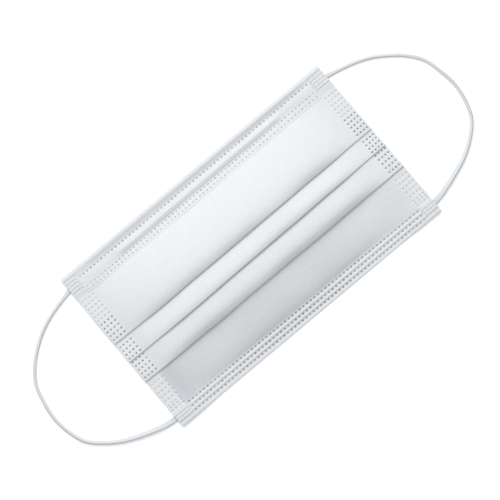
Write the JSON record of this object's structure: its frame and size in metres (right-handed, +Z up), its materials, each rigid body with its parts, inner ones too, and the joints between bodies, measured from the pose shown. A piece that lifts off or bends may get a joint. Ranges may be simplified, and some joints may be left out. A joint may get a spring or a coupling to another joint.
{
  "type": "surgical face mask",
  "caption": "Rectangular pleated face mask of white nonwoven cloth with folded hems, a hidden nose wire and two elastic ear loops.",
  "frame": {"origin": "middle of the mask, without its ear loops, on the surface that it lies on", "axes": "+X along the long edges, +Y to the nose edge, +Z up from the inner side to the outer side"},
  "size_m": [0.2753, 0.1, 0.0118],
  "materials": {
    "panel_cloth": "matt white spunbonded cloth with a fine point bond",
    "hem_cloth": "matt white spunbonded cloth, welded in rows of dots",
    "coated_wire": "satin white coating",
    "elastic_tape": "matt white knitted elastic"
  },
  "bodies": {
    "root": {"pleated_panel": "panel_cloth", "nose_hem": "hem_cloth", "chin_hem": "hem_cloth", "nose_wire": "coated_wire", "loop_end_left_nose": "elastic_tape", "loop_end_left_chin": "elastic_tape", "loop_end_right_nose": "elastic_tape", "loop_end_right_chin": "elastic_tape", "ear_loop_left": "elastic_tape", "ear_loop_right": "elastic_tape"}
  },
  "joints": []
}
